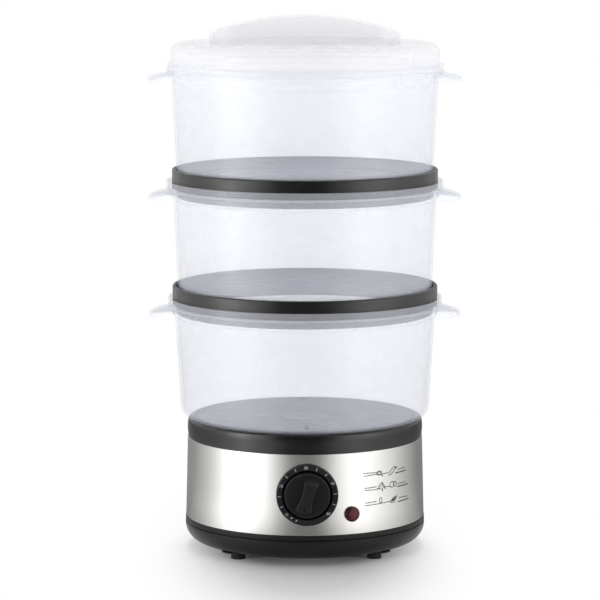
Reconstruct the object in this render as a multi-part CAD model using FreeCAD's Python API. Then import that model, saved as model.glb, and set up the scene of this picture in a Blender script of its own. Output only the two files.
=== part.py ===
import FreeCAD, Part
import math
import os

from FreeCAD import Vector

# Electric food steamer with three stacked bowls, in millimetres.
# +Z is up, the feet stand on z = 0, the bowls share the Z axis and the timer knob faces -Y.

os.makedirs("parts", exist_ok=True)

# ---- driving dimensions -------------------------------------------------------------------------

# base, heights above the table
pad_height = 4.2
housing_bottom_z = 5.4
cover_top_z = 8.3
groove_z = 20.4
band_bottom_z = 24.6
band_top_z = 85.7
tank_floor_z = 46.0
tank_neck_z = 82.4
tray_floor_z = 88.2
tray_ledge_z = 96.2
collar_top_z = 100.4
tray_rim_z = 100.8

# base, radii
band_bottom_r = 91.7
band_top_r = 90.2
band_sheet = 0.6
housing_r = 92.1
housing_wall = 2.2
foot_round = 13.0
collar_r = 90.3
collar_round = 3.6
tank_mouth_r = 85.2
tank_inner_r = 61.0
tank_wall = 2.3
spigot_drop = 6.6
cover_r = 77.6
cover_sheet = 2.4
heater_hole_r = 33.0

# bowls: floor and rim heights, wall radii under the collar and at the foot, collar radius, rim to tab underside
bowl_1 = {"floor": 100.8, "rim": 193.4, "top_r": 99.5, "foot_r": 94.8, "collar_r": 104.9, "tab_drop": 14.9}
bowl_2 = {"floor": 194.0, "rim": 282.6, "top_r": 100.2, "foot_r": 97.0, "collar_r": 105.8, "tab_drop": 14.4}
bowl_3 = {"floor": 283.2, "rim": 371.3, "top_r": 101.3, "foot_r": 97.7, "collar_r": 105.8, "tab_drop": 13.2}
bowl_wall = 1.7
bowl_corner = 9.0
collar_wall = 1.6
collar_height = 7.0
ledge_drop = 5.4
shoulder_rise = 2.0
shoulder_step = 3.2
skirt_drop = 12.4
tab_tip_x = 119.2
tab_round_r = 28.5
tab_tip_height = 3.2
tab_root_height = 6.3
slot_width = 3.2
slot_length = 22.0
slot_rings = ((36.0, 6), (66.0, 12))

# stacking rings
ring_r = 101.4
ring_rise = 8.9
ring_inner_r = 98.6
ring_flange_r = 86.0
ring_skirt_r = 97.9
ring_wall = 1.7
flange_lift = 0.6
flange_sheet = 1.8

# lid
lid_side_r = 102.5
lid_top_z = 386.7
lid_corner = 6.8
lid_dish_r = 86.0
lid_dish = 1.0
lid_wall = 1.6
grip_half_length = 72.4
grip_depth = 36.0
grip_end_z = 394.6
grip_crown_z = 407.4
vent_x = 16.0
vent_y = 27.0
vent_length = 20.0
vent_width = 3.0

# drip tray and steam ring
tray_rim_r = 84.6
tray_wall_r = 81.2
tray_sheet = 1.8
chimney_r = 18.0
steam_ring_r = 40.0
steam_ring_wall = 1.6

# timer and lamp; depths are measured forwards from the bowls' axis
timer_z = 55.6
knob_turn = 15.5
dial_zero = 136.5
knob_r = 17.2
knob_back = 90.4
knob_face = 95.4
grip_face = 104.6
grip_waist = 3.3
grip_foot_r = 14.9
grip_face_r = 11.4
flank_r = 32.0
flank_slope = 1.0
bezel_r = 23.2
bezel_bore_r = 18.8
bezel_spigot_r = 19.8
bezel_face = 94.2
bezel_back = 86.0
timer_plate_back = 82.6
timer_case_back = 70.0
timer_half_width = 20.0
timer_half_height = 20.5
shaft_r = 3.0
pivot_r = 1.5
running_gap = 0.05
timer_screw_x = (-13.0, 13.0)
lamp_z = 39.9
lamp_turn = 21.5
lamp_r = 5.8
lamp_seat = 91.4

# feet and cover screws
pad_r = 5.5
foot_x = 51.5
foot_y = 54.6
boss_x = 52.6
boss_y = 49.5
boss_r = 11.5
post_radius = 71.0
post_turns = (20.0, 160.0, 200.0, 340.0)
gland_z = 14.0
gland_bore_r = 3.4
gland_r = 5.0

# heater, heights and radii
plate_top = tank_floor_z + 2.4
plate_under = tank_floor_z + 1.2
stud_radius = 28.5
stud_turns = (90.0, 210.0, 330.0)
clamp_top = tank_floor_z - 2.4
clamp_under = clamp_top - 2.0
element_under = 39.6
element_outer_r = 24.0
element_inner_r = 14.0
pin_x = 9.5
pin_y = -17.5
pin_length = 7.0
plate_r = 36.2
earth_tag_thickness = 0.8
terminal_front = 58.0
wire_r = 1.1
wire_bend_r = 5.0


# ---- shared helpers -----------------------------------------------------------------------------

def outline(start, *steps):
    """Closed wire in the XZ plane. A step is a point (r, z), or (mid, end) for an arc."""
    edges = []
    here = Vector(start[0], 0, start[1])
    for step in steps + (start,):
        if isinstance(step[0], tuple):
            mid, end = (Vector(p[0], 0, p[1]) for p in step)
            edges.append(Part.Arc(here, mid, end).toShape())
        else:
            end = Vector(step[0], 0, step[1])
            edges.append(Part.makeLine(here, end))
        here = end
    return Part.Wire(edges)


def bend(centre_r, centre_z, radius, first, last):
    """Step of an outline: an arc about a centre, between two angles in degrees."""
    turns = (math.radians(a) for a in ((first + last) / 2, last))
    return tuple((centre_r + radius * math.cos(a), centre_z + radius * math.sin(a)) for a in turns)


def turned(start, *steps):
    """Solid of revolution about Z."""
    face = Part.Face(outline(start, *steps))
    return face.revolve(Vector(0, 0, 0), Vector(0, 0, 1), 360)


def disc(radius, low, high, x=0.0, y=0.0):
    return Part.makeCylinder(radius, high - low, Vector(x, y, low))


def sleeve(outer_r, inner_r, low, high, x=0.0, y=0.0):
    return disc(outer_r, low, high, x, y).cut(disc(inner_r, low, high, x, y))


def hex_bar(corner_r, low, high, x=0.0):
    corners = [
        Vector(x + corner_r * math.cos(math.radians(a)), corner_r * math.sin(math.radians(a)), low)
        for a in range(0, 361, 60)
    ]
    return Part.Face(Part.makePolygon(corners)).extrude(Vector(0, 0, high - low))


def block(x_range, y_range, z_range):
    corner = Vector(x_range[0], y_range[0], z_range[0])
    sides = (x_range[1] - x_range[0], y_range[1] - y_range[0], z_range[1] - z_range[0])
    return Part.makeBox(*sides, corner)


def spun(shape, degrees):
    """Copy turned about the Z axis."""
    copy = shape.copy()
    copy.rotate(Vector(0, 0, 0), Vector(0, 0, 1), degrees)
    return copy


def to_front(shape, height):
    """Local +Z becomes -Y, so that local depths count forwards from the bowls' axis."""
    copy = shape.copy()
    copy.rotate(Vector(0, 0, 0), Vector(1, 0, 0), 90)
    copy.translate(Vector(0, 0, height))
    return copy


def at_lamp(shape):
    return spun(to_front(shape, lamp_z), lamp_turn)


def at_gland(shape):
    """Depths count backwards from the bowls' axis."""
    return spun(to_front(shape, gland_z), 180)


def band_radius(z):
    """Outer radius of the steel band at a height."""
    share = (z - band_bottom_z) / (band_top_z - band_bottom_z)
    return band_bottom_r + (band_top_r - band_bottom_r) * share


def export(node, shape):
    shape = shape.removeSplitter()
    shape.exportStep(f"parts/{node}.step")
    print(f"{node}: {len(shape.Solids)} solid(s), {shape.Volume / 1000:.1f} cm3, valid {shape.isValid()}")


# ---- bowls, stacking rings and lid --------------------------------------------------------------

def steam_slots(floor_z):
    """Radial slots through a bowl's floor, in rings."""
    slots = []
    for radius, count in slot_rings:
        slot = block(
            (radius - slot_length / 2, radius + slot_length / 2),
            (-slot_width / 2, slot_width / 2),
            (floor_z - 1, floor_z + bowl_wall + 1),
        )
        slots += [spun(slot, 360 / count * i) for i in range(count)]
    return slots


def grip_tab(size):
    """Half-round tab that swells towards the collar, with a lip turned down round its edge."""
    centre_x = tab_tip_x - tab_round_r
    root_r = size["collar_r"] - shoulder_step - 0.8
    low = size["rim"] - size["tab_drop"]
    swell = tab_root_height - tab_tip_height
    crown = turned(
        (root_r, low),
        (tab_tip_x, low),
        (tab_tip_x, low + tab_tip_height),
        (((root_r + tab_tip_x) / 2, low + tab_tip_height + 0.75 * swell), (root_r, low + tab_root_height)),
    )
    under_crown = crown.copy()
    under_crown.translate(Vector(0, 0, -collar_wall))
    plate = disc(tab_round_r, low, low + tab_root_height, centre_x).common(crown)
    hollow = disc(tab_round_r - collar_wall, low, low + tab_root_height, centre_x).common(under_crown)
    return plate.cut(hollow)


def make_bowl(size):
    floor, rim, collar = size["floor"], size["rim"], size["collar_r"]
    foot_flat_r = size["foot_r"] - bowl_corner
    band_r = collar - shoulder_step
    corner_z = floor + bowl_corner
    underside = rim - size["tab_drop"]
    body = turned(
        (0, floor),
        (foot_flat_r, floor),
        bend(foot_flat_r, corner_z, bowl_corner, -90, 0),
        (size["top_r"], underside),
        (band_r - 0.3, underside + shoulder_rise),
        (band_r, rim - collar_height),
        (collar - 0.3, rim - collar_height),
        (collar, rim),
        (collar - collar_wall, rim),
        (collar - collar_wall, rim - ledge_drop),
        (band_r - collar_wall, rim - ledge_drop),
        (size["top_r"] - bowl_wall, underside),
        (size["foot_r"] - bowl_wall, corner_z),
        bend(foot_flat_r, corner_z, bowl_corner - bowl_wall, 0, -90),
        (0, floor + bowl_wall),
    )
    tab = grip_tab(size)
    return body.fuse([tab, spun(tab, 180)]).cut(steam_slots(floor))


def make_stacking_ring(lower_bowl):
    """Rests on the ledge inside a bowl's collar and carries the next bowl on its flange."""
    rim = lower_bowl["rim"]
    ledge = rim - ledge_drop
    top = rim + ring_rise
    flange_top = rim + flange_lift
    return turned(
        (ring_r, ledge),
        (ring_r, top - 1.6),
        (ring_r - 1.2, top),
        (ring_inner_r, top),
        (ring_inner_r, flange_top),
        (ring_flange_r, flange_top),
        (ring_flange_r, flange_top - flange_sheet),
        (ring_skirt_r - ring_wall, flange_top - flange_sheet),
        (ring_skirt_r - ring_wall, rim - skirt_drop),
        (ring_skirt_r, rim - skirt_drop),
        (ring_skirt_r, ledge),
    )


def grip_body(half_length, depth, crown_z, low_z):
    """Bar with round ends in plan and one arc as its crown."""
    end_r = depth / 2 - 0.1
    bar = block((-half_length, half_length), (-depth / 2, depth / 2), (low_z, crown_z + 1))
    uprights = [e for e in bar.Edges if abs(e.tangentAt(e.FirstParameter).z) > 0.99]
    bar = bar.makeFillet(end_r, uprights)
    drop = grip_crown_z - grip_end_z
    crown_r = (grip_half_length ** 2 + drop ** 2) / (2 * drop) - (grip_crown_z - crown_z)
    crown = Part.makeCylinder(
        crown_r, depth + 4, Vector(0, -depth / 2 - 2, crown_z - crown_r), Vector(0, 1, 0)
    )
    return bar.common(crown)


def make_lid():
    seat = bowl_3["rim"] - ledge_drop
    flange_r = bowl_3["collar_r"] - collar_wall - 0.8
    corner_r = lid_side_r - 0.3 - lid_corner
    corner_z = lid_top_z - lid_corner
    inner_r = lid_side_r - lid_wall
    ceiling = lid_top_z - lid_wall
    shell = turned(
        (inner_r - 0.3, seat),
        (flange_r, seat),
        (flange_r, seat + 1.6),
        (lid_side_r, seat + 2.4),
        (corner_r + lid_corner, corner_z),
        bend(corner_r, corner_z, lid_corner, 0, 90),
        (lid_dish_r, lid_top_z),
        (lid_dish_r - 1.4, lid_top_z - lid_dish),
        (0, lid_top_z - lid_dish),
        (0, ceiling - lid_dish),
        (lid_dish_r - 0.4, ceiling - lid_dish),
        (lid_dish_r + 1.0, ceiling),
        (corner_r, ceiling),
        bend(corner_r, corner_z, lid_corner - lid_wall, 90, 0),
    )
    top_z = ceiling - lid_dish
    outer = grip_body(grip_half_length, grip_depth, grip_crown_z, top_z)
    inner = grip_body(
        grip_half_length - lid_wall, grip_depth - 2 * lid_wall, grip_crown_z - lid_wall, top_z - 1
    )
    vent = block(
        (vent_x - vent_length / 2, vent_x + vent_length / 2),
        (vent_y - vent_width / 2, vent_y + vent_width / 2),
        (top_z - 1, lid_top_z + 1),
    )
    near_vents = [vent, vent.mirror(Vector(0, 0, 0), Vector(1, 0, 0))]
    vents = near_vents + [v.mirror(Vector(0, 0, 0), Vector(0, 1, 0)) for v in near_vents]
    return shell.fuse(outer).cut([inner] + vents)


# ---- drip tray, steam ring and tank -------------------------------------------------------------

def make_drip_tray():
    """Round trough; steam rises through its closed-top chimney and leaves by side windows."""
    under = tray_floor_z - tray_sheet
    chimney_top = tray_rim_z - 1.0
    tray = turned(
        (chimney_r - 1.7, under),
        (tray_wall_r - 2.4, under),
        (tray_wall_r, tray_ledge_z),
        (tray_rim_r, tray_ledge_z),
        (tray_rim_r, tray_rim_z),
        (tray_rim_r - tray_sheet, tray_rim_z),
        (tray_wall_r - tray_sheet, tray_ledge_z + 1.0),
        (tray_wall_r - 2.4 - tray_sheet, tray_floor_z),
        (chimney_r, tray_floor_z),
        (chimney_r - 1.0, chimney_top),
        (0, chimney_top),
        (0, chimney_top - 1.6),
        (chimney_r - 2.7, chimney_top - 1.6),
    )
    window = block((8, 20), (-3.6, 3.6), (chimney_top - 7.6, chimney_top - 1.6))
    return tray.cut([spun(window, 60 * i) for i in range(6)])


def make_steam_ring():
    """Sleeve round the heater; water creeps in through the notches at its foot."""
    top = tray_floor_z - tray_sheet - 0.2
    inner_r = steam_ring_r - steam_ring_wall
    ring = turned(
        (inner_r, tank_floor_z),
        (steam_ring_r, tank_floor_z),
        (steam_ring_r, top - 4.0),
        (steam_ring_r + 2.5, top - 4.0),
        (steam_ring_r + 2.5, top),
        (inner_r, top),
    )
    notch = block((inner_r - 6, steam_ring_r + 4), (-6, 6), (tank_floor_z - 1, tank_floor_z + 7))
    return ring.cut([spun(notch, 60 * i + 30) for i in range(6)])


def make_water_tank():
    """Tank with its visible collar, the spigot inside the band and four screw posts."""
    under = clamp_top
    spigot_r = band_top_r - band_sheet - 0.3
    spigot_low = band_top_z - spigot_drop
    ledge_r = tank_mouth_r - 3.2
    shoulder_r = collar_r - 0.4
    outer = turned(
        (0, under),
        (tank_inner_r + 1.4, under),
        (tank_inner_r + tank_wall, tank_neck_z - 2.2),
        (ledge_r + 2.4, tank_neck_z + 0.6),
        (spigot_r - 2.2, tank_neck_z + 0.6),
        (spigot_r - 2.2, spigot_low),
        (spigot_r, spigot_low),
        (spigot_r, band_top_z),
        (collar_r - 0.6, band_top_z),
        ((collar_r, band_top_z + 5.8), (shoulder_r, collar_top_z - collar_round)),
        bend(shoulder_r - collar_round, collar_top_z - collar_round, collar_round, 0, 90),
        (0, collar_top_z),
    )
    inside = turned(
        (0, tank_floor_z),
        (tank_inner_r - 0.8, tank_floor_z),
        (tank_inner_r, tank_neck_z),
        (ledge_r - 0.2, tank_neck_z + 2.8),
        (ledge_r, tray_ledge_z),
        (tank_mouth_r, tray_ledge_z),
        (tank_mouth_r, collar_top_z + 1),
        (0, collar_top_z + 1),
    )
    post = block((post_radius - 4, post_radius + 4), (-3.5, 3.5), (cover_top_z, 90.0))
    posts = [spun(post, turn) for turn in post_turns]
    heater_hole = disc(heater_hole_r, under - 1, tank_floor_z + 1)
    return outer.fuse(posts).cut([inside, heater_hole])


# ---- outer base ---------------------------------------------------------------------------------

def make_steel_band():
    """Rolled sheet with a butt seam at the back."""
    band = turned(
        (band_bottom_r - band_sheet, band_bottom_z),
        (band_bottom_r, band_bottom_z),
        (band_top_r, band_top_z),
        (band_top_r - band_sheet, band_top_z),
    )
    timer_hole = to_front(disc(bezel_spigot_r + 0.2, 60, 110), timer_z)
    lamp_hole = at_lamp(disc(lamp_r - 0.8, 60, 110))
    seam = block((-0.3, 0.3), (60, 110), (band_bottom_z - 1, band_top_z + 1))
    return band.cut([timer_hole, lamp_hole, seam])


def make_lower_housing():
    """Foot ring and the wall that backs the band, with the timer's flat boss."""
    gap = band_sheet + 0.15
    wall_top_z = band_top_z - spigot_drop - 0.4
    outer_top_r = band_radius(wall_top_z) - gap
    outer_low_r = band_radius(band_bottom_z) - gap
    round_z = housing_bottom_z + foot_round * math.sin(math.radians(80))
    housing = turned(
        (outer_top_r, wall_top_z),
        (outer_low_r, band_bottom_z),
        (housing_r - 0.2, band_bottom_z),
        (housing_r - 0.1, groove_z + 0.6),
        (housing_r - 0.9, groove_z),
        (housing_r, groove_z - 0.6),
        (housing_r, round_z),
        bend(housing_r - foot_round, round_z, foot_round, 0, -80),
        (cover_r + 0.3, housing_bottom_z),
        (cover_r + 0.3, cover_top_z),
        (cover_r - 1.6, cover_top_z),
        (outer_low_r - housing_wall - 0.4, 17.0),
        (outer_top_r - housing_wall, wall_top_z),
    )
    inside_band = turned(
        (0, 30.0), (outer_low_r - 0.5, 30.0), (outer_top_r - 0.1, wall_top_z), (0, wall_top_z)
    )
    boss_front = timer_plate_back + 1.0
    boss = block((-23, 23), (-89.0, -boss_front), (timer_z - 22, timer_z + 22)).common(inside_band)
    cuts = [
        to_front(disc(bezel_spigot_r + 0.2, bezel_back, 110), timer_z),
        to_front(disc(10.0, 60, 110), timer_z),
        at_lamp(disc(lamp_r - 0.8, 60, 110)),
        at_gland(disc(gland_r, 70, 100)),
    ]
    return housing.fuse(boss).cut(cuts)


def make_bottom_cover():
    """Vented plate whose bosses spread under the foot ring to carry the feet."""
    cover = disc(cover_r, cover_top_z - cover_sheet, cover_top_z)
    spread_top = housing_bottom_z - 0.4
    bosses = []
    for sx in (-1, 1):
        for sy in (-1, 1):
            column = disc(boss_r, pad_height, cover_top_z - 1, boss_x * sx, boss_y * sy)
            bosses.append(column.common(disc(cover_r, 0, cover_top_z)))
            bosses.append(disc(boss_r, pad_height, spread_top, boss_x * sx, boss_y * sy))
    vents = [block((x - 1.6, x + 1.6), (-16, 16), (0, 20)) for x in range(-24, 25, 8)]
    return cover.fuse(bosses).cut(vents)


def make_feet():
    """Four rubber pads, each bonded under its boss."""
    pads = [disc(pad_r, 0, pad_height, foot_x * sx, foot_y * sy) for sx in (-1, 1) for sy in (-1, 1)]
    return Part.makeCompound(pads)


def make_cover_screws():
    """Hex washer heads on the cover's underside, in line with the tank's posts."""
    low = cover_top_z - cover_sheet
    head = hex_bar(3.4, low - 1.7, low, post_radius)
    return Part.makeCompound([spun(head, turn) for turn in post_turns])


def make_cord_gland():
    return at_gland(sleeve(gland_r, gland_bore_r, 80.0, 93.0))


# ---- heater -------------------------------------------------------------------------------------

def make_heater_seal():
    return sleeve(plate_r + 0.4, heater_hole_r - 1.0, tank_floor_z, plate_under)


def make_heater_plate():
    plate = turned(
        (0, plate_under),
        (plate_r, plate_under),
        (plate_r, plate_top - 0.4),
        (element_outer_r, plate_top),
        (0, plate_top + 1.6),
    )
    studs = [spun(hex_bar(1.5, clamp_under, plate_under, stud_radius), turn) for turn in stud_turns]
    return plate.fuse(studs)


def make_heating_element():
    """C-shaped casting with a terminal at each end."""
    casting = sleeve(element_outer_r, element_inner_r, element_under, plate_under)
    mouth = block((-6, 6), (-30, 0), (element_under - 1, plate_under + 1))
    pin = block(
        (pin_x - 2.5, pin_x + 2.5),
        (pin_y - 0.7, pin_y + 0.7),
        (element_under - pin_length, element_under + 1),
    )
    return casting.cut(mouth).fuse([pin, pin.mirror(Vector(0, 0, 0), Vector(1, 0, 0))])


def make_element_clamp():
    plate = hex_bar(40.0, clamp_under, clamp_top)
    stud_hole = block((stud_radius - 1.6, stud_radius + 1.6), (-1.6, 1.6), (30, 50))
    return plate.cut([disc(element_outer_r + 1.4, 30, 50)] + [spun(stud_hole, turn) for turn in stud_turns])


def make_clamp_nuts():
    """Blind hex nuts on the plate's studs; the rear one sits on the earth tag."""
    nuts = []
    for turn in stud_turns:
        top = clamp_under - (earth_tag_thickness if turn == stud_turns[0] else 0)
        nuts.append(spun(hex_bar(3.2, top - 2.4, top, stud_radius), turn))
    return Part.makeCompound(nuts)


def make_earth_tag():
    """Flat tag between the rear nut and the clamp."""
    low = clamp_under - earth_tag_thickness
    return spun(block((stud_radius - 4, 46.0), (-3.2, 3.2), (low, clamp_under)), stud_turns[0])


def make_thermostat():
    body = disc(9.0, 42.4, plate_under)
    blades = [block((x - 0.4, x + 0.4), (-3, 3), (34.0, 42.4)) for x in (-5.0, 5.0)]
    return body.fuse(blades)


def make_thermal_fuse():
    return Part.makeCylinder(2.4, 16.0, Vector(-8, 18.5, element_under - 2.4), Vector(1, 0, 0))


# ---- timer and lamp -----------------------------------------------------------------------------

def make_timer_shaft():
    """Turned pivot at the back, flat at the front for the knob."""
    shaft = disc(shaft_r, timer_case_back + 1.2, 101.0).fuse(disc(pivot_r, timer_case_back + 0.1, 72.0))
    flat = block((2.1, 4.0), (-4, 4), (88.0, 102.0))
    return shaft.cut(flat)


def make_timer_knob():
    """Disc with a grip bar that has hollow flanks, sloping ends and a dimple near its tail."""
    skirt = turned(
        (0, knob_back),
        (knob_r, knob_back),
        (knob_r, knob_face - 1.2),
        (knob_r - 1.2, knob_face),
        (0, knob_face),
    )
    hub = disc(5.4, bezel_back + 2.4, knob_back)
    rise = grip_face - knob_face
    bar = Part.makeCone(grip_foot_r, grip_face_r, rise, Vector(0, 0, knob_face))
    for side in (-1, 1):
        foot = Vector(side * (flank_r + grip_waist), 1.5, knob_face)
        bar = bar.cut(Part.makeCone(flank_r, flank_r - flank_slope, rise, foot))
    dimple = disc(1.1, grip_face - 0.6, grip_face + 1, 0, -9.0)
    return skirt.fuse([hub, bar]).cut([make_timer_shaft(), dimple])


def make_timer_cam():
    """Switch cam with the notch that opens the contacts at zero."""
    cam = disc(13.0, 76.0, 79.0)
    notch = block((-2.5, 2.5), (11.0, 14.0), (75.0, 80.0))
    return cam.cut([spun(notch, -dial_zero), make_timer_shaft()])


def make_timer_bezel():
    rim = turned(
        (bezel_bore_r, bezel_back),
        (bezel_r, bezel_back),
        (bezel_r, bezel_face - 0.8),
        (bezel_r - 0.8, bezel_face),
        (bezel_bore_r, bezel_face),
    )
    rim = to_front(rim, timer_z)
    behind = turned(
        (0, 20.0), (band_radius(20.0) + 0.1, 20.0), (band_radius(90.0) + 0.1, 90.0), (0, 90.0)
    )
    spigot = sleeve(bezel_spigot_r, bezel_bore_r, bezel_back, bezel_face - 1.0)
    floor = disc(bezel_spigot_r, bezel_back, bezel_back + 1.6)
    inner = spigot.fuse(floor).cut(disc(shaft_r + 0.8, 80, 100))
    return rim.cut(behind).fuse(to_front(inner, timer_z))


def make_timer_screws():
    """Low hex heads on the bezel's floor, hidden behind the knob."""
    seat = bezel_back + 1.6
    return Part.makeCompound([hex_bar(3.0, seat, seat + 1.8, x) for x in timer_screw_x])


def make_timer_front_plate():
    plate = block(
        (-timer_half_width - 1.5, timer_half_width + 1.5),
        (-timer_half_height, timer_half_height),
        (timer_plate_back, timer_plate_back + 1.0),
    )
    return plate.cut(disc(shaft_r + running_gap, 80, 90))


def make_timer_case():
    """Folded box with the shaft's rear bearing and slots for the switch blades."""
    wall = 0.8
    x, y = timer_half_width, timer_half_height
    box = block((-x, x), (-y, y), (timer_case_back, timer_plate_back))
    hollow = block((wall - x, x - wall), (wall - y, y - wall), (timer_case_back + wall, timer_plate_back + 1))
    bearing = disc(pivot_r + running_gap, 60, 75)
    blade_slots = [block((x - 1.0, x + 1.0), (15.6, 19.2), (60, 72)) for x in (-4.0, 4.0)]
    return box.cut([hollow, bearing] + blade_slots)


def make_timer_contacts():
    """Moulded block with a leaf over the cam and two push-on blades."""
    body = block((-7, 7), (14.0, 19.7), (74.5, 81.5))
    leaf = block((-9, 9), (13.4, 14.0), (75.5, 79.5))
    blades = [block((x - 0.4, x + 0.4), (16.2, 18.6), (65.4, 74.5)) for x in (-4.0, 4.0)]
    return body.fuse([leaf] + blades)


def make_timer_bell():
    """Shallow gong on a short post behind the can."""
    gong = Part.makeCone(11.0, 14.5, 2.4, Vector(0, 0, 65.2))
    return gong.fuse(block((-2, 2), (-2, 2), (65.6, timer_case_back)))


def make_lamp_lens():
    """Domed lens with a stem through the band."""
    dome = turned(
        (0, lamp_seat),
        (lamp_r, lamp_seat),
        (lamp_r, lamp_seat + 1.3),
        (lamp_r - 1.6, lamp_seat + 3.0),
        (0, lamp_seat + 3.7),
    )
    return dome.fuse(hex_bar(4.4, 84.0, lamp_seat))


def make_lamp_body():
    """Neon tube in its holder, behind the lens."""
    return disc(3.2, 74.0, 84.0)


# ---- wiring -------------------------------------------------------------------------------------

def lead(radius, *points):
    """Insulated lead that leaves its first point along Z, with arcs at the bends."""
    points = [Vector(*p) for p in points]
    edges = []
    here = points[0]
    for before, corner, after in zip(points, points[1:], points[2:]):
        into = (corner - before).normalize()
        out = (after - corner).normalize()
        turn = math.acos(max(-1.0, min(1.0, into.dot(out))))
        reach = wire_bend_r * math.tan(turn / 2)
        start = corner - into * reach
        end = corner + out * reach
        inset = wire_bend_r / math.cos(turn / 2) - wire_bend_r
        middle = corner + (out - into).normalize() * inset
        edges.append(Part.makeLine(here, start))
        edges.append(Part.Arc(start, middle, end).toShape())
        here = end
    edges.append(Part.makeLine(here, points[-1]))
    path = Part.Wire(edges)
    section = hex_bar(radius, 0, 1).Faces
    section = [f for f in section if abs(f.CenterOfMass.z) < 1e-6][0].OuterWire
    section.translate(points[0])
    return path.makePipeShell([section], True, True)


def make_terminal_block():
    back = terminal_front + 12.0
    body = block((-13, 13), (terminal_front, back), (cover_top_z, 16.0))
    gaps = [block((x - 1, x + 1), (terminal_front - 1, back + 1), (12.0, 17.0)) for x in (-4.5, 4.5)]
    return body.cut(gaps)


def make_wiring():
    leads = []
    for x in (-pin_x, pin_x):
        start = (x, pin_y, element_under - pin_length)
        leads.append(lead(wire_r, start, (x, pin_y, 22.0), (x, terminal_front - 0.1, 14.0)))
    return Part.makeCompound(leads)


# ---- every node ---------------------------------------------------------------------------------

nodes = {
    "lid": make_lid(),
    "bowl_3": make_bowl(bowl_3),
    "stacking_ring_3": make_stacking_ring(bowl_2),
    "bowl_2": make_bowl(bowl_2),
    "stacking_ring_2": make_stacking_ring(bowl_1),
    "bowl_1": make_bowl(bowl_1),
    "drip_tray": make_drip_tray(),
    "steam_ring": make_steam_ring(),
    "water_tank": make_water_tank(),
    "steel_band": make_steel_band(),
    "lower_housing": make_lower_housing(),
    "bottom_cover": make_bottom_cover(),
    "feet": make_feet(),
    "cover_screws": make_cover_screws(),
    "cord_gland": make_cord_gland(),
    "heater_seal": make_heater_seal(),
    "heater_plate": make_heater_plate(),
    "heating_element": make_heating_element(),
    "element_clamp": make_element_clamp(),
    "clamp_nuts": make_clamp_nuts(),
    "earth_tag": make_earth_tag(),
    "thermostat": make_thermostat(),
    "thermal_fuse": make_thermal_fuse(),
    "timer_bezel": make_timer_bezel(),
    "timer_screws": to_front(make_timer_screws(), timer_z),
    "timer_front_plate": to_front(make_timer_front_plate(), timer_z),
    "timer_case": to_front(make_timer_case(), timer_z),
    "timer_contacts": to_front(make_timer_contacts(), timer_z),
    "timer_bell": to_front(make_timer_bell(), timer_z),
    "timer_shaft": to_front(spun(make_timer_shaft(), -knob_turn), timer_z),
    "timer_knob": to_front(spun(make_timer_knob(), -knob_turn), timer_z),
    "timer_cam": to_front(spun(make_timer_cam(), -knob_turn), timer_z),
    "lamp_lens": at_lamp(make_lamp_lens()),
    "lamp_body": at_lamp(make_lamp_body()),
    "terminal_block": make_terminal_block(),
    "wiring": make_wiring(),
}

for node, shape in nodes.items():
    export(node, shape)
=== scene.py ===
from math import acos, atan2, ceil, cos, degrees, hypot, pi, radians, sin, sqrt, tan

import bmesh
import bpy
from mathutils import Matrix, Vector


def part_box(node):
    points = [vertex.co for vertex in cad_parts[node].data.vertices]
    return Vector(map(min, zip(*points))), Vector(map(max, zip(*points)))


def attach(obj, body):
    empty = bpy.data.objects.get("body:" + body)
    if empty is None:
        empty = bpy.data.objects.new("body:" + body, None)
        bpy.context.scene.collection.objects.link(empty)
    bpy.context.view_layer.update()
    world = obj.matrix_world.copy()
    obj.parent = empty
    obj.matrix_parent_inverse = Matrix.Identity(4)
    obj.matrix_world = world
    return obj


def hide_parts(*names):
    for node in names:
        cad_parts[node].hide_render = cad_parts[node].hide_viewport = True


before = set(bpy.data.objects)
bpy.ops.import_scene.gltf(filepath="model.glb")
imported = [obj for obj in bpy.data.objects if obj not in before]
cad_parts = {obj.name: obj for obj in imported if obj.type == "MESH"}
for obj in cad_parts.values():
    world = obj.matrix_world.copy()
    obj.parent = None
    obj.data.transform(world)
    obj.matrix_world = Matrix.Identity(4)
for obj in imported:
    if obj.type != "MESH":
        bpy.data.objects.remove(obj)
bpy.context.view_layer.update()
mm = 0.001
scene = bpy.context.scene
arcStep = 9.0  # degrees between the points of a rounded corner
print("frame loaded:", len(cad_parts), "nodes")


# shared helpers

def linear(code):  # sRGB hex to linear colour
    parts = [int(code[i:i + 2], 16) / 255 for i in (1, 3, 5)]
    return [p / 12.92 if p <= 0.04045 else ((p + 0.055) / 1.055) ** 2.4 for p in parts] + [1.0]


def feed(tree, item, inputs):  # values and links; a node stands for its first output
    for name, value in inputs.items():
        if isinstance(value, bpy.types.Node):
            value = value.outputs[0]
        if isinstance(value, bpy.types.NodeSocket):
            tree.links.new(value, item.inputs[name])
        else:
            item.inputs[name].default_value = value


def addNode(tree, kind, inputs=None, **settings):  # one node with its settings, values and links
    prefixes = ("ShaderNode", "GeometryNode", "FunctionNode", "Node")
    item = tree.nodes.new(next(p + kind for p in prefixes if hasattr(bpy.types, p + kind)))
    for name, value in settings.items():
        setattr(item, name, value)
    feed(tree, item, inputs or {})
    return item


def addObject(name, data):
    item = bpy.data.objects.new(name, data)
    scene.collection.objects.link(item)
    return item


def newPiece(name, shape):  # bmesh to a linked object, normals outwards
    bmesh.ops.recalc_face_normals(shape, faces=shape.faces)
    mesh = bpy.data.meshes.new(name)
    shape.to_mesh(mesh)
    shape.free()
    return addObject(name, mesh)


def settle(piece):  # live modifiers become plain mesh
    evaluated = piece.evaluated_get(bpy.context.evaluated_depsgraph_get())
    mesh = bpy.data.meshes.new_from_object(evaluated)
    piece.modifiers.clear()
    piece.data = mesh
    return piece


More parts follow.
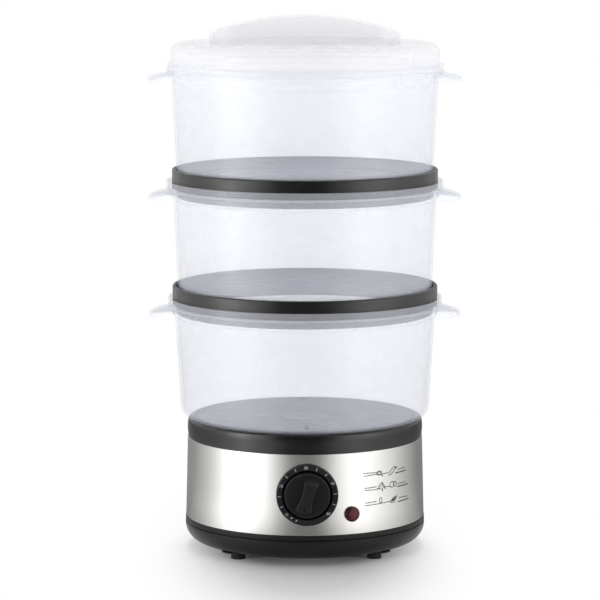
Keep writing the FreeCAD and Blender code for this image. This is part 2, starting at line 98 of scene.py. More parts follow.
def combine(piece, tool, operation):
    change = piece.modifiers.new(operation.lower(), "BOOLEAN")
    change.operation = operation
    change.solver = "EXACT"
    change.object = tool
    settle(piece)
    bpy.data.objects.remove(tool)
    return piece


def joinPieces(name, pieces):  # several meshes into one piece
    shape = bmesh.new()
    for piece in pieces:
        shape.from_mesh(piece.data)
        bpy.data.objects.remove(piece)
    return newPiece(name, shape)


def dress(piece, material, body, slotName, *nodes, sharp=32):
    piece.data.materials.clear()
    piece.data.materials.append(material)
    piece.data.shade_smooth()
    piece.data.set_sharp_from_angle(angle=radians(sharp))
    if nodes:
        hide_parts(*nodes)
    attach(piece, body)
    return piece


def rounded(corners):  # closed profile; corners are (r, z) or (r, z, fillet radius), in mm
    path = []
    for i, corner in enumerate(corners):
        here = Vector(corner[:2])
        if len(corner) < 3:
            path.append(here)
            continue
        before = Vector(corners[i - 1][:2])
        after = Vector(corners[(i + 1) % len(corners)][:2])
        into = (here - before).normalized()
        out = (after - here).normalized()
        turn = into.angle(out)
        room = 0.49 * min((here - before).length, (after - here).length)
        reach = min(corner[2] * tan(turn / 2), room)
        radius = reach / tan(turn / 2)
        centre = here + (out - into).normalized() * (radius / cos(turn / 2))
        arm = here - into * reach - centre
        side = 1 if into.x * out.y > into.y * out.x else -1
        steps = max(1, ceil(degrees(turn) / arcStep))
        for k in range(steps + 1):
            a = side * turn * k / steps
            path.append(centre + Vector((arm.x * cos(a) - arm.y * sin(a),
                                         arm.x * sin(a) + arm.y * cos(a))))
    return path


def polar(radius, turn, x=0.0, y=0.0):  # point at a turn in radians about (x, y)
    return Vector((x + radius * cos(turn), y + radius * sin(turn)))


def middleOf(node):  # centre of a node's box in mm
    low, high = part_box(node)
    return (Vector(low) + Vector(high)) / 2 / mm


def heights(node):  # bottom and top of a node's box in mm
    low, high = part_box(node)
    return low.z / mm, high.z / mm


def lathe(name, corners, segments=160):  # closed profile turned about Z
    shape = bmesh.new()
    rings = []
    for r, z in rounded(corners):
        if r < 0.001:
            rings.append([shape.verts.new((0, 0, z * mm))])
            continue
        turns = (2 * pi * k / segments for k in range(segments))
        rings.append([shape.verts.new((r * mm * cos(a), r * mm * sin(a), z * mm)) for a in turns])
    for low, high in zip(rings, rings[1:] + rings[:1]):  # a ring of one point is a pole
        if len(low) == len(high) == 1:
            continue
        for k in range(segments):
            n = (k + 1) % segments
            loop = [low[k % len(low)], low[n % len(low)], high[n % len(high)], high[k % len(high)]]
            shape.faces.new(list(dict.fromkeys(loop)))
    return newPiece(name, shape)


def inward(outline, distance):  # outline of (x, y) points, moved in along its normals
    moved = []
    count = len(outline)
    for i, point in enumerate(outline):
        along = (outline[(i + 1) % count] - outline[i - 1]).normalized()
        moved.append(point + Vector((-along.y, along.x)) * distance)
    return moved


def bridge(shape, rings):  # quads from each closed ring of points to the next
    for low, high in zip(rings, rings[1:]):
        for k in range(len(low)):
            n = (k + 1) % len(low)
            shape.faces.new((low[k], low[n], high[n], high[k]))


def loft(name, sections):  # closed sections of (x, y, z) points in mm, joined one to the next and capped
    shape = bmesh.new()
    rings = [[shape.verts.new(Vector(p) * mm) for p in section] for section in sections]
    bridge(shape, rings)
    shape.faces.new(rings[0])
    shape.faces.new(rings[-1])
    return newPiece(name, shape)


def stack(name, outline, levels):  # counterclockwise outline built up through (height, inset) levels
    return loft(name, [[(p.x, p.y, height) for p in (inward(outline, inset) if inset else outline)]
                       for height, inset in levels])


def box(name, low, high):
    shape = bmesh.new()
    bmesh.ops.create_cube(shape, size=1)
    for vert in shape.verts:
        vert.co = Vector([(l + h) / 2 + c * (h - l) for l, h, c in zip(low, high, vert.co)]) * mm
    return newPiece(name, shape)


def circle(radius, count=64, x=0.0, y=0.0):
    return [polar(radius, 2 * pi * k / count, x, y) for k in range(count)]


def toFront(piece, height):  # local Z becomes -Y: local heights count forwards from the bowls' axis
    for vert in piece.data.vertices:
        x, y, z = vert.co
        vert.co = (x, -z, y + height * mm)
    return piece


def turnAbout(piece, turn):  # about Z, in degrees
    c, s = cos(radians(turn)), sin(radians(turn))
    for vert in piece.data.vertices:
        x, y, z = vert.co
        vert.co = (x * c - y * s, x * s + y * c, z)
    return piece


def drill(piece, radius, near, far, height, turn=0.0, count=64):  # level hole at a turn from the front
    hole = toFront(stack("hole", circle(radius, count), [(near, 0), (far, 0)]), height)
    return combine(piece, turnAbout(hole, turn), "DIFFERENCE")


# materials

def startMaterial(name, color, roughness, **constants):
    material = bpy.data.materials.new(name)
    material.use_nodes = True
    surface = material.node_tree.nodes["Principled BSDF"]
    surface.inputs["Base Color"].default_value = linear(color)
    surface.inputs["Roughness"].default_value = roughness
    for socket, value in constants.items():
        surface.inputs[socket.replace("_", " ")].default_value = value
    return material, material.node_tree, surface


def objectNoise(tree, size, detail=2.0):  # noise whose features are about size mm
    place = addNode(tree, "TexCoord")
    return addNode(tree, "TexNoise", {"Vector": place.outputs["Object"], "Scale": 1 / (size * mm),
                                      "Detail": detail})


def varyRoughness(tree, surface, noise, low, high):  # noise mostly lies between 0.3 and 0.7
    spread = addNode(tree, "MapRange", {"Value": noise, "From Min": 0.3, "From Max": 0.7,
                                        "To Min": low, "To Max": high})
    feed(tree, surface, {"Roughness": spread})


def varyColor(tree, surface, noise, dark, light):
    mix = addNode(tree, "Mix", {0: noise, 6: linear(dark), 7: linear(light)}, data_type="RGBA")
    feed(tree, surface, {"Base Color": mix.outputs[2]})


def addBump(tree, surface, noise, depth):
    bump = addNode(tree, "Bump", {"Height": noise, "Distance": depth * mm, "Strength": 1.0})
    feed(tree, surface, {"Normal": bump})


def greyRamp(tree, value, stops):  # grey ramp from (place, level) pairs
    ramp = addNode(tree, "ValToRGB", {"Fac": value})
    elements = ramp.color_ramp.elements
    elements.remove(elements[1])
    for i, (place, level) in enumerate(stops):
        stop = elements.new(place) if i else elements[0]
        stop.color = (level, level, level, 1)
    return ramp


# natural polypropylene and thin glass: a milky haze, denser at a slant and where the wall is thick; a high
# IOR gives the thin haze the full shine of a plastic surface
def milky(name, color, haze, edgeHaze, ior, rim=None):
    material, tree, surface = startMaterial(name, color, 0.25, IOR=ior)
    slant = addNode(tree, "LayerWeight", {"Blend": 0.5})
    steep = addNode(tree, "Math", {0: slant.outputs["Facing"], 1: 2.5}, operation="POWER")
    density = addNode(tree, "MapRange", {"Value": steep, "To Min": haze, "To Max": edgeHaze})
    if rim is not None:
        place = addNode(tree, "TexCoord")
        parts = addNode(tree, "SeparateXYZ", {0: place.outputs["Object"]})
        depth = addNode(tree, "MapRange", {"Value": parts.outputs["Z"], "From Min": rim * mm,
                                           "From Max": (rim - thickDepth) * mm})
        extra = greyRamp(tree, depth, [(drop / thickDepth, more) for drop, more in thickParts])
        density = addNode(tree, "Math", {0: density, 1: extra}, operation="ADD")
    feed(tree, surface, {"Alpha": density})
    varyRoughness(tree, surface, objectNoise(tree, 18), 0.24, 0.32)
    return material


# patches: size in mm and detail of the noise under colour, roughness and bump, whose height is depth in mm
satinMould = {  # finely eroded mould: satin, soft highlights
    "roughness": 0.4, "ior": 1.49, "patches": ((25, 2), (12, 2), (0.9, 3)), "depth": 0.008,
}
polishedMould = {  # polished mould: glossy, broad highlights
    "roughness": 0.2, "ior": 1.53, "patches": ((30, 2), (15, 2), (1.2, 2)), "depth": 0.004,
}
rubberMould = {  # rubber and silicone: matt, dusty
    "roughness": 0.75, "ior": 1.5, "patches": ((1.5, 4), (1.5, 4), (1.5, 4)), "depth": 0.03,
}
screenPrint = {"roughness": 0.55, "ior": 1.5, "patches": ((1.2, 3), (1.2, 3))}  # ink: flat, slightly chalky


def moulded(name, dark, light, low, high, finish, specular=0.5):
    material, tree, surface = startMaterial(name, dark, finish["roughness"], IOR=finish["ior"],
                                            Specular_IOR_Level=specular)
    patches = [objectNoise(tree, *patch) for patch in finish["patches"]]
    varyColor(tree, surface, patches[0], dark, light)
    varyRoughness(tree, surface, patches[1], low, high)
    if len(patches) > 2:
        addBump(tree, surface, patches[2], finish["depth"])
    return material


# stainless sheet brushed round the band: fine scratches stretch the highlights upwards, nearly unseen
def brushedStainless(name, dark, light, acrossSize, roughness):
    material, tree, surface = startMaterial(name, light, roughness, Metallic=1.0, Anisotropic=0.55)
    wrap = addNode(tree, "UVMap", uv_map="around")
    mapping = addNode(tree, "Mapping", {"Vector": wrap, "Scale": (0.02, 1.0, 1.0)})
    scratches = addNode(tree, "TexNoise", {"Vector": mapping, "Scale": 1 / (acrossSize * mm), "Detail": 2.0})
    varyColor(tree, surface, scratches, dark, light)
    varyRoughness(tree, surface, scratches, roughness - 0.02, roughness + 0.02)
    addBump(tree, surface, scratches, 0.0006)
    tangent = addNode(tree, "Tangent", direction_type="UV_MAP", uv_map="around")
    feed(tree, surface, {"Tangent": tangent})
    return material


# metals inside the base: zinc plate, stainless pressing, aluminium casting, brass, dull by their grain in mm
def plainMetal(name, dark, light, roughness, grain):
    material, tree, surface = startMaterial(name, light, roughness, Metallic=1.0)
    noise = objectNoise(tree, grain, 3)
    varyColor(tree, surface, noise, dark, light)
    varyRoughness(tree, surface, noise, roughness - 0.06, roughness + 0.1)
    addBump(tree, surface, noise, 0.01)
    return material


prism = {"cell": 1.5, "rimFrom": 3.5, "rimTo": 7}  # mm; the distances are from the lens's middle


# red polycarbonate lens with a moulded prism pattern inside, dark at its rim and while the lamp is off
def prismLens(name, dark, light, rimColor):
    material, tree, surface = startMaterial(name, dark, 0.3, IOR=1.58, Specular_IOR_Level=0.25)
    place = addNode(tree, "TexCoord")
    cells = addNode(tree, "TexVoronoi", {"Vector": place.outputs["Object"],
                                         "Scale": 1 / (prism["cell"] * mm)})
    glow = addNode(tree, "Mix", {0: cells.outputs["Distance"], 6: linear(light), 7: linear(dark)},
                   data_type="RGBA")
    middle = middleOf("lamp_lens") * mm
    spread = addNode(tree, "VectorMath", {0: place.outputs["Object"], 1: middle}, operation="DISTANCE")
    rim = addNode(tree, "MapRange", {"Value": spread.outputs["Value"], "From Min": prism["rimFrom"] * mm,
                                     "From Max": prism["rimTo"] * mm})
    shaded = addNode(tree, "Mix", {0: rim, 6: glow.outputs[2], 7: linear(rimColor)}, data_type="RGBA")
    feed(tree, surface, {"Base Color": shaded.outputs[2]})
    varyRoughness(tree, surface, objectNoise(tree, 3), 0.26, 0.36)
    addBump(tree, surface, cells, 0.05)
    return material


# more haze by the depth below a bowl's rim in mm: the ledge and the shoulder are a collar's thick parts
thickParts = ((0, 0.0), (5.2, 0.0), (5.6, 0.18), (6.8, 0.18), (7.4, 0.1), (14.0, 0.12), (17.0, 0.04))
thickDepth = 20
bowlPlastic = {
    node: milky("naturalPolypropylene" + name, "#e5e8f2", 0.16, 0.23, 1.9, heights(node)[1])
    for node, name in (("bowl_1", "Lower"), ("bowl_2", "Middle"), ("bowl_3", "Upper"))
}
lidPlastic = milky("naturalPolypropyleneLid", "#f5f5f8", 0.25, 0.42, 1.49)
ringPlastic = moulded("blackPolypropyleneSatin", "#121212", "#161515", 0.28, 0.38, satinMould, 0.55)
collarPlastic = moulded("blackAbsPolished", "#111112", "#151516", 0.16, 0.22, polishedMould)
housingPlastic = moulded("charcoalAbsPolished", "#171716", "#1b1a19", 0.3, 0.4, polishedMould, 0.2)
bandSteel = brushedStainless("stainlessBrushedRound", "#e4e3e0", "#ebeae7", 0.3, 0.22)
dialPlastic = moulded("blackAbsFineSatin", "#19191b", "#1c1c1e", 0.4, 0.5, satinMould, 0.25)
bezelPlastic = moulded("blackAbsMatt", "#16171a", "#1a1b1e", 0.4, 0.5, satinMould, 0.35)
lensPlastic = prismLens("redPolycarbonatePrism", "#66181e", "#9c3a40", "#2c0a0e")
whiteInk = moulded("whiteDialInk", "#8e8e91", "#a4a4a7", 0.5, 0.62, screenPrint)
darkInk = moulded("darkGuideInk", "#262626", "#383838", 0.5, 0.62, screenPrint)
footRubber = moulded("blackRubber", "#121111", "#1b1a19", 0.68, 0.85, rubberMould)
sealSilicone = moulded("greySilicone", "#b9b7ae", "#c9c7bf", 0.68, 0.85, rubberMould)
wireSleeve = moulded("redSiliconeSleeve", "#7c2018", "#96291f", 0.68, 0.85, rubberMould)
phenolicResin = moulded("phenolicMoulding", "#241812", "#33231a", 0.4, 0.55, satinMould)
creamAcetal = moulded("creamAcetal", "#d8d0b8", "#e6dfca", 0.35, 0.45, satinMould)
zincSteel = plainMetal("zincPlatedSteel", "#8f9296", "#c4c7ca", 0.35, 2.0)
pressedSteel = plainMetal("stainlessPressing", "#b8b8b6", "#dcdcda", 0.28, 3.0)
castAluminium = plainMetal("aluminiumCasting", "#9b9da0", "#bfc1c3", 0.5, 1.2)
sheetBrass = plainMetal("brassSheet", "#a8873f", "#d9bd6c", 0.3, 2.0)
neonGlass = milky("neonTubeGlass", "#f0d8c8", 0.3, 0.6, 1.49)
print("materials made:", len(bpy.data.materials))


# Geometry Nodes trees

def startTree(name, defaults):  # an input's kind follows from its default
    kinds = {float: "NodeSocketFloat", int: "NodeSocketInt", type(None): "NodeSocketMaterial"}
    tree = bpy.data.node_groups.new(name, "GeometryNodeTree")
    for label, default in defaults.items():
        socket = tree.interface.new_socket(label, in_out="INPUT", socket_type=kinds[type(default)])
        if default is not None:
            socket.default_value = default
    tree.interface.new_socket("Geometry", in_out="OUTPUT", socket_type="NodeSocketGeometry")
    return tree, addNode(tree, "GroupInput").outputs


def endTree(tree, geometry, material):
    real = addNode(tree, "RealizeInstances", {"Geometry": geometry})
    painted = addNode(tree, "SetMaterial", {"Geometry": real, "Material": material})
    addNode(tree, "GroupOutput", {"Geometry": painted})
    return tree


def growPiece(name, tree, values):  # runs a tree on an empty mesh and keeps the plain result
    piece = newPiece(name, bmesh.new())
    modifier = piece.modifiers.new(tree.name, "NODES")
    modifier.node_group = tree
    for item in tree.interface.items_tree:
        if item.in_out == "INPUT" and item.name in values:
            modifier[item.identifier] = values[item.name]
    return settle(piece)


def slotTree():  # round-ended slots set radially on two circles
    tree, source = startTree("steamSlots", {
        "Floor Height": 0.1, "Inner Radius": 0.036, "Inner Count": 6, "Outer Radius": 0.066,
        "Outer Count": 12, "Slot Length": 0.022, "Slot Width": 0.0032, "Cut Depth": 0.004, "Material": None,
    })
    outline = addNode(tree, "CurvePrimitiveQuadrilateral", {"Width": source["Slot Length"],
                                                            "Height": source["Slot Width"]})
    half = addNode(tree, "Math", {0: source["Slot Width"], 1: 0.49}, operation="MULTIPLY")
    ends = addNode(tree, "FilletCurve", {"Curve": outline, "Radius": half, "Count": 5}, mode="POLY")
    floor = addNode(tree, "FillCurve", {"Curve": ends}, mode="NGONS")
    depth = addNode(tree, "CombineXYZ", {"Z": source["Cut Depth"]})
    upright = addNode(tree, "ExtrudeMesh", {"Mesh": floor, "Offset": depth, "Offset Scale": 1.0,
                                            "Individual": False})
    under = addNode(tree, "FlipFaces", {"Mesh": floor})
    closed = addNode(tree, "JoinGeometry")
    feed(tree, closed, {0: upright})
    feed(tree, closed, {0: under})
    slot = addNode(tree, "MergeByDistance", {"Geometry": closed, "Distance": 1e-6})
    rings = addNode(tree, "JoinGeometry")
    for side in ("Inner", "Outer"):
        points = addNode(tree, "MeshCircle", {"Vertices": source[side + " Count"],
                                              "Radius": source[side + " Radius"]})
        where = addNode(tree, "InputPosition")
        facing = addNode(tree, "AlignEulerToVector", {"Vector": where}, axis="X")
        row = addNode(tree, "InstanceOnPoints", {"Points": points, "Instance": slot, "Rotation": facing})
        feed(tree, rings, {0: row})
    lift = addNode(tree, "CombineXYZ", {"Z": source["Floor Height"]})
    placed = addNode(tree, "Transform", {"Geometry": rings, "Translation": lift})
    return endTree(tree, placed, source["Material"])


def tickTree():  # short bars on an arc, every third place left free for a number
    tree, source = startTree("dialTicks", {
        "Count": 13, "Radius": 0.0208, "First Angle": 0.0, "Step Angle": 0.385, "Length": 0.0014,
        "Width": 0.0004, "Thickness": 0.0001, "Material": None,
    })
    line = addNode(tree, "MeshLine", {"Count": source["Count"]})
    index = addNode(tree, "InputIndex")
    swing = addNode(tree, "Math", {0: index, 1: source["Step Angle"], 2: source["First Angle"]},
                    operation="MULTIPLY_ADD")
    sides = []
    for side in ("SINE", "COSINE"):
        share = addNode(tree, "Math", {0: swing}, operation=side)
        sides.append(addNode(tree, "Math", {0: share, 1: source["Radius"]}, operation="MULTIPLY"))
    spot = addNode(tree, "CombineXYZ", {"X": sides[0], "Y": sides[1]})
    placed = addNode(tree, "SetPosition", {"Geometry": line, "Position": spot})
    third = addNode(tree, "Math", {0: index, 1: 3.0}, operation="MODULO")
    free = addNode(tree, "Math", {0: third, 1: 0.5}, operation="GREATER_THAN")
    back = addNode(tree, "Math", {0: swing, 1: -1.0}, operation="MULTIPLY")
    tilt = addNode(tree, "CombineXYZ", {"Z": back})
    size = addNode(tree, "CombineXYZ", {"X": source["Width"], "Y": source["Length"],
                                        "Z": source["Thickness"]})
    bar = addNode(tree, "MeshCube", {"Size": size})
    row = addNode(tree, "InstanceOnPoints", {
        "Points": placed, "Selection": free, "Instance": bar, "Rotation": tilt,
    })
    return endTree(tree, row, source["Material"])


slots = slotTree()
ticks = tickTree()


# bowls: stepped collar, two half-round tabs, slotted bottom

bowls = {
    "wall": 1.7, "corner": 9.0, "collarWall": 1.6, "collarHeight": 7.0, "ledgeDrop": 5.4,
    "shoulderRise": 2.0, "shoulderStep": 3.2, "tabTip": 3.2, "tabRoot": 6.3, "tabRound": 28.5,
    "tabWall": 1.6, "tabEdge": 0.8,
    "pieces": (
        {"name": "bowlLower", "node": "bowl_1", "top": 99.5, "foot": 94.8, "tabDrop": 14.9},
        {"name": "bowlMiddle", "node": "bowl_2", "top": 100.2, "foot": 97.0, "tabDrop": 14.4},
        {"name": "bowlUpper", "node": "bowl_3", "top": 101.3, "foot": 97.7, "tabDrop": 13.2},
    ),
}


def tabBody(tip, roundR, root, low, heightAt, edge):  # half-round; heightAt gives its top by the radius
    centre = tip - roundR
    meet = (root ** 2 + centre ** 2 - roundR ** 2) / (2 * centre)
    reach = acos((meet - centre) / roundR)
    rootReach = acos(min(1.0, meet / root)) * 0.99
    turns = [radians(15 * k) for k in range(7)]
    curve = [(edge * (1 - sin(a)), edge * (1 - cos(a))) for a in turns]
    sections = []
    half = 20  # sections on either side of the middle one
    for j in range(2 * half + 1):
        share = j / half - 1
        inner = polar(root, rootReach * share)
        outer = polar(1, reach * share)
        spots = [inner + (outer * (roundR - edge) + Vector((centre, 0)) - inner) * k / 6 for k in range(6)]
        points = [(p.x, p.y, low + heightAt(p.length)) for p in spots]
        for inset, drop in curve:
            p = outer * (roundR - inset) + Vector((centre, 0))
            points.append((p.x, p.y, low + heightAt(p.length) - drop))
        rim = outer * roundR + Vector((centre, 0))
        sections.append(points + [(rim.x, rim.y, low), (inner.x, inner.y, low)])
    return loft("tab", sections)


def makeBowl(size):
    b = bowls
    low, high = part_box(size["node"])
    floor, rim, collar, tip = low.z / mm, high.z / mm, high.y / mm, high.x / mm
    band = collar - b["shoulderStep"]
    underside = rim - size["tabDrop"]
    piece = lathe(size["name"], [
        (0, floor), (size["foot"], floor, b["corner"]), (size["top"], underside, 1.2),
        (band - 0.3, underside + b["shoulderRise"], 0.8), (band, rim - b["collarHeight"], 0.4),
        (collar - 0.3, rim - b["collarHeight"], 0.8), (collar, rim, 0.8),
        (collar - b["collarWall"], rim, 0.6), (collar - b["collarWall"], rim - b["ledgeDrop"], 0.5),
        (band - b["collarWall"], rim - b["ledgeDrop"], 0.6), (size["top"] - b["wall"], underside, 1.2),
        (size["foot"] - b["wall"] - 0.1, floor + b["wall"], b["corner"] - b["wall"]), (0, floor + b["wall"]),
    ])
    root = band - 0.8
    swell = b["tabRoot"] - b["tabTip"]

    def crown(radius):  # swells from the tip towards the collar
        share = min(1.0, max(0.0, (tip - radius) / (tip - root)))
        return b["tabTip"] + swell * sin(share * pi / 2)

    for side in (0, 180):
        solid = tabBody(tip, b["tabRound"], root, underside, crown, b["tabEdge"])
        hollow = tabBody(tip - b["tabWall"], b["tabRound"] - b["tabWall"], root - 0.5, underside - 1,
                         lambda radius: crown(radius) + 1 - b["tabWall"], 0.4)
        solid = combine(solid, hollow, "DIFFERENCE")
        combine(piece, turnAbout(solid, side), "UNION")
    cutters = growPiece("slotCutters", slots, {"Floor Height": (floor - 1) * mm})
    combine(piece, cutters, "DIFFERENCE")
    return dress(piece, bowlPlastic[size["node"]], size["node"], "milky_pp", size["node"])


for size in bowls["pieces"]:
    makeBowl(size)
print("bowls made")


# stacking rings: black rings that stand in a collar and carry the next bowl on their flange

rings = {
    "outer": 101.4, "inner": 98.6, "flange": 86.0, "flangeDrop": 8.3, "flangeWall": 1.8, "skirt": 97.9,
    "skirtWall": 1.7, "seatDrop": 14.3, "skirtDrop": 21.3,
    "pieces": (("stackingRingLower", "stacking_ring_2"), ("stackingRingUpper", "stacking_ring_3")),
}


def makeRing(name, node):
    r = rings
    top = heights(node)[1]
    flange = top - r["flangeDrop"]
    piece = lathe(name, [
        (r["outer"], top - r["seatDrop"], 0.3), (r["outer"], top, 1.3), (r["inner"], top, 0.6),
        (r["inner"], flange, 0.6), (r["flange"], flange, 0.5),
        (r["flange"], flange - r["flangeWall"], 0.5),
        (r["skirt"] - r["skirtWall"], flange - r["flangeWall"], 0.6),
        (r["skirt"] - r["skirtWall"], top - r["skirtDrop"], 0.4),
        (r["skirt"], top - r["skirtDrop"], 0.4), (r["skirt"], top - r["seatDrop"], 0.4),
    ])
    return dress(piece, ringPlastic, node, "black_satin_pp", node)


for name, node in rings["pieces"]:
    makeRing(name, node)
print("stacking rings made")


# lid: low drum with a dished top and a broad hollow grip

lid = {
    "side": 102.5, "corner": 6.8, "wall": 1.6, "flangeHeight": 1.6, "dish": 1.0, "dishRadius": 86.0,
    "gripRise": 20.7, "gripLength": 72.4, "gripDepth": 18.0, "gripEnds": 12.8, "gripEdge": 1.6,
    "ventX": 16.0, "ventY": 27.0, "ventLength": 20.0, "ventWidth": 3.0,
}


def stadium(halfLength, halfDepth, count=24, flatCount=16):  # counterclockwise, round ends
    turns = [pi * (k / count - 0.5) for k in range(count + 1)]
    straight = halfLength - halfDepth
    flat = [straight * (1 - 2 * k / flatCount) for k in range(1, flatCount)]
    right = [polar(halfDepth, a, straight) for a in turns]
    left = [Vector((-p.x, -p.y)) for p in right]
    upper = [Vector((x, halfDepth)) for x in flat]
    lower = [Vector((-x, -halfDepth)) for x in flat]
    return right + upper + left + lower


def archedBar(name, halfLength, halfDepth, low, crown, edge, arch):  # bar whose top follows one arc along X
    outline = stadium(halfLength, halfDepth)
    shape = bmesh.new()
    rings = [[shape.verts.new((p.x * mm, p.y * mm, low * mm)) for p in outline]]
    for a in (0, 30, 60, 90):
        inset = edge * (1 - cos(radians(a)))
        drop = edge * (1 - sin(radians(a)))
        points = inward(outline, inset)
        heights = [crown - arch(p.x) - drop for p in points]
        rings.append([shape.verts.new((p.x * mm, p.y * mm, z * mm)) for p, z in zip(points, heights)])
    bridge(shape, rings)
    shape.faces.new(rings[0])
    columns = {}  # the top skin is made of strips across the bar
    for vert in sorted(rings[-1], key=lambda v: v.co.y):
        columns.setdefault(round(vert.co.x, 6), []).append(vert)
    strips = [columns[x] for x in sorted(columns)]
    for near, far in zip(strips, strips[1:]):
        loop = [near[0], far[0], far[-1], near[-1]]
        shape.faces.new(list(dict.fromkeys(loop)))
    return newPiece(name, shape)


def makeLid():
    s = lid
    low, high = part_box("lid")
    seat, crown, flange = low.z / mm, high.z / mm, high.y / mm
    top = crown - s["gripRise"]
    inner = s["side"] - s["wall"]
    ceiling = top - s["dish"] - s["wall"]
    piece = lathe("domedLid", [
        (inner - 0.3, seat, 0.4), (flange, seat, 0.5), (flange, seat + s["flangeHeight"], 0.6),
        (s["side"], seat + s["flangeHeight"] + 0.8, 0.8), (s["side"] - 0.3, top, s["corner"]),
        (s["dishRadius"], top, 1.2), (s["dishRadius"] - 1.4, top - s["dish"], 1.2),
        (0, top - s["dish"]), (0, ceiling), (s["dishRadius"] - 0.4, ceiling, 0.8),
        (s["dishRadius"] + 1.0, top - s["wall"], 0.8),
        (inner - 0.3, top - s["wall"], s["corner"] - s["wall"]),
    ])
    drop = s["gripEnds"]
    arcRadius = (s["gripLength"] ** 2 + drop ** 2) / (2 * drop)

    def arch(radius):
        return lambda x: radius - sqrt(radius ** 2 - x ** 2)

    grip = archedBar("grip", s["gripLength"], s["gripDepth"], ceiling + 0.4, crown, s["gripEdge"],
                     arch(arcRadius))
    combine(piece, grip, "UNION")
    hollow = archedBar("gripHollow", s["gripLength"] - s["wall"], s["gripDepth"] - s["wall"], ceiling - 1,
                       crown - s["wall"], 0.8, arch(arcRadius - s["wall"]))
    combine(piece, hollow, "DIFFERENCE")
    for x in (-s["ventX"], s["ventX"]):
        for y in (-s["ventY"], s["ventY"]):
            ends = [Vector((p.x + x, p.y + y)) for p in stadium(s["ventLength"] / 2, s["ventWidth"] / 2, 8)]
            combine(piece, stack("vent", ends, [(ceiling - 1, 0), (top + 1, 0)]), "DIFFERENCE")
    return dress(piece, lidPlastic, "lid", "milky_pp", "lid")


makeLid()
print("lid made")


# water tank: its bulged collar shows over the steel band

tank = {
    "wallRadius": 61.0, "floorRadius": 60.2, "neckDrop": 18.0, "neckRadius": 84.4, "funnelRadius": 81.8,
    "ledgeDrop": 4.2, "mouth": 85.2, "spigot": 89.3, "spigotHeight": 6.6, "spigotWall": 2.2, "collar": 90.3,
    "collarHeight": 14.7, "collarRound": 3.6, "bulgeHeight": 6.8, "bulgeRound": 36.0, "heaterHole": 33.0,
    "floor": 46.0, "floorWall": 2.4, "postRadius": 71.0, "postReach": 4, "postHalf": 3.5,
    "postTurns": (20, 160, 200, 340),
}


def makeTank():
    t = tank
    postLow, top = heights("water_tank")
    base = top - t["collarHeight"]
    neck = top - t["neckDrop"]
    under = t["floor"] - t["floorWall"]
    piece = lathe("waterTank", [
        (t["heaterHole"], under), (t["wallRadius"] + 1.4, under, 1.5),
        (t["wallRadius"] + 2.3, neck - 2.2, 1.5), (t["neckRadius"], neck + 0.6, 0.6),
        (t["spigot"] - t["spigotWall"], neck + 0.6, 0.4),
        (t["spigot"] - t["spigotWall"], base - t["spigotHeight"]),
        (t["spigot"], base - t["spigotHeight"]), (t["spigot"], base), (t["collar"] - 0.7, base, 0.1),
        (t["collar"] + 0.25, base + t["bulgeHeight"], t["bulgeRound"]),
        (t["collar"] - 0.8, top, t["collarRound"]), (t["mouth"], top, 0.6),
        (t["mouth"], top - t["ledgeDrop"], 0.4), (t["funnelRadius"] + 0.2, top - t["ledgeDrop"], 0.4),
        (t["funnelRadius"], neck + 2.8, 2.0), (t["wallRadius"], neck, 3.0),
        (t["floorRadius"], t["floor"], 2.0), (t["heaterHole"], t["floor"]),
    ])
    near, far, half = t["postRadius"] - t["postReach"], t["postRadius"] + t["postReach"], t["postHalf"]
    posts = [turnAbout(box("post", (near, -half, postLow), (far, half, neck - 0.4)), turn)
             for turn in t["postTurns"]]
    piece = joinPieces("waterTank", [piece] + posts)
    return dress(piece, collarPlastic, "base", "black_gloss_abs", "water_tank")


makeTank()
print("tank made")


# steel band with its UV map running round it

band = {
    "sheet": 0.6, "lowRadius": 91.7, "highRadius": 90.2, "timerHole": 20.0, "lampTurn": 21.5,
    "lampHole": 5.0, "seam": 0.3, "cutFrom": 60.0, "cutTo": 110.0, "segments": 240,
    "timerHeight": middleOf("timer_case").z, "lampHeight": middleOf("lamp_lens").z,
}


def bandRadius(z):
    low, high = heights("steel_band")
    share = (z - low) / (high - low)
    return band["lowRadius"] + (band["highRadius"] - band["lowRadius"]) * share


def wrapMap(piece):  # UV map: u is the length round the band, v the height, both in metres
    layer = piece.data.uv_layers.new(name="around")
    for face in piece.data.polygons:
        middle = atan2(face.center.x, -face.center.y)
        for loop in face.loop_indices:
            point = piece.data.vertices[piece.data.loops[loop].vertex_index].co
            turn = atan2(point.x, -point.y)
            turn += 2 * pi * round((middle - turn) / (2 * pi))
            layer.data[loop].uv = (turn * band["lowRadius"] * mm, point.z)


def makeBand():
    b = band
    bottom, top = heights("steel_band")
    piece = lathe("steelBand", [
        (b["lowRadius"] - b["sheet"], bottom), (b["lowRadius"], bottom, 0.15),
        (b["highRadius"], top, 0.15), (b["highRadius"] - b["sheet"], top),
    ], b["segments"])
    near, far = b["cutFrom"], b["cutTo"]
    drill(piece, b["timerHole"], near, far, b["timerHeight"], count=96)
    drill(piece, b["lampHole"], near, far, b["lampHeight"], b["lampTurn"], 48)
    combine(piece, box("seam", (-b["seam"], near, bottom - 1), (b["seam"], far, top + 1)), "DIFFERENCE")
    wrapMap(piece)
    return dress(piece, bandSteel, "base", "brushed_stainless", "steel_band")


makeBand()
print("steel band made")


# foot housing: rounded ring with a groove, and the wall behind the band

housing = {
    "radius": 92.1, "round": 13.0, "roundTurn": 80, "roundSteps": 12, "gap": 0.75, "wall": 2.2,
    "grooveHeight": 20.4, "grooveDepth": 1.1, "coverRadius": 77.9, "ledgeRadius": 76.0, "ledge": 8.3,
    "flareHeight": 17.0, "glandHeight": 14.0, "glandRadius": 5.0, "glandFrom": 70, "glandTo": 100,
    "bossFront": 86.0, "bossBack": 83.6, "bossHalf": 23.0, "bossHigh": 22.0, "shaftHole": 10.0,
}


